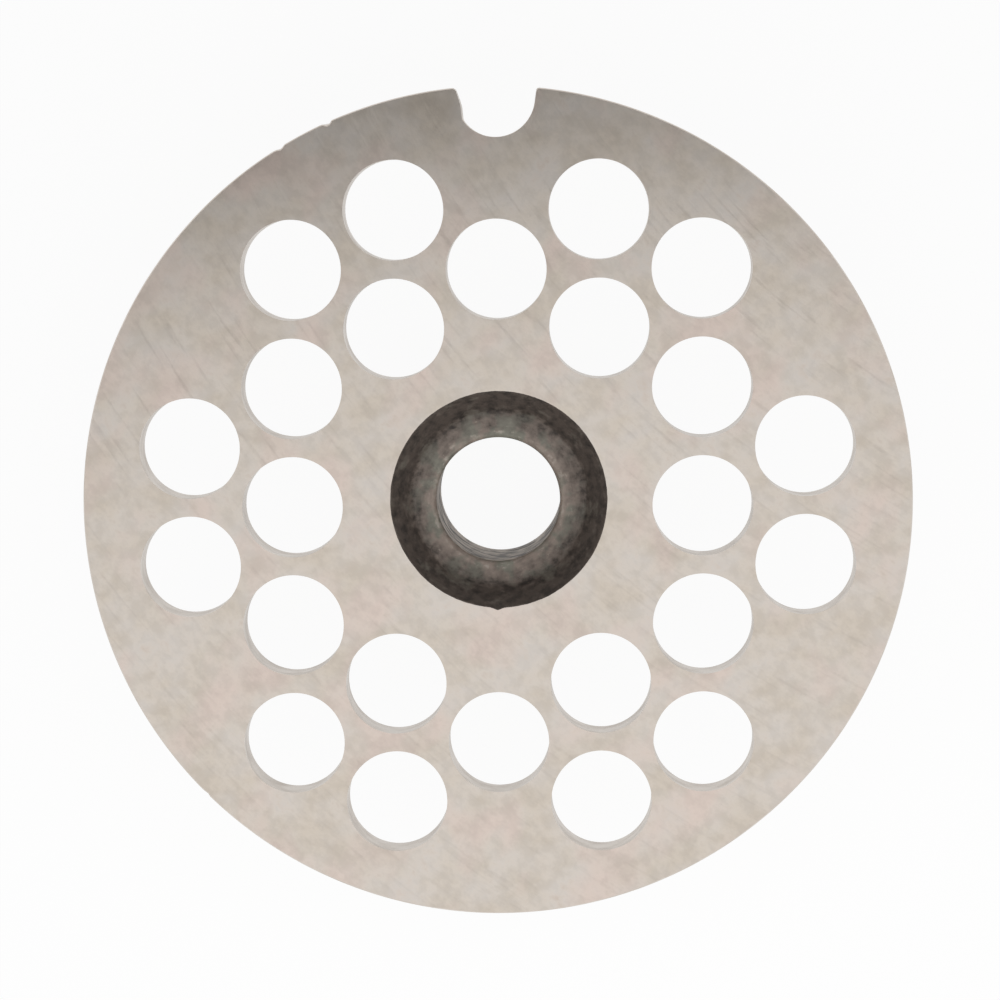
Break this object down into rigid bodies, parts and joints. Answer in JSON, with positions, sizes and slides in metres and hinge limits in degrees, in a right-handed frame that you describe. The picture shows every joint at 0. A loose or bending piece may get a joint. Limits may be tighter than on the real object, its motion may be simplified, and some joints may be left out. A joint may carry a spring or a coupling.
{
  "type": "meat grinder plate",
  "caption": "Round perforated steel plate for a meat grinder, with a flat ground cutting face, a dished centre round the spindle bore, a keying notch in the rim and a hub on its back.",
  "frame": {"origin": "on the axis of the spindle bore, in the plane that the end of the hub rests on", "axes": "+Z along the bore, out of the cutting face; +Y towards the keying notch in the rim"},
  "size_m": [0.07, 0.0698, 0.016],
  "materials": {
    "plate_steel": "ground face with fine straight scratches; recess, bore and back as forged, dark grey"
  },
  "bodies": {
    "root": {"grinder_plate": "plate_steel"}
  },
  "joints": []
}
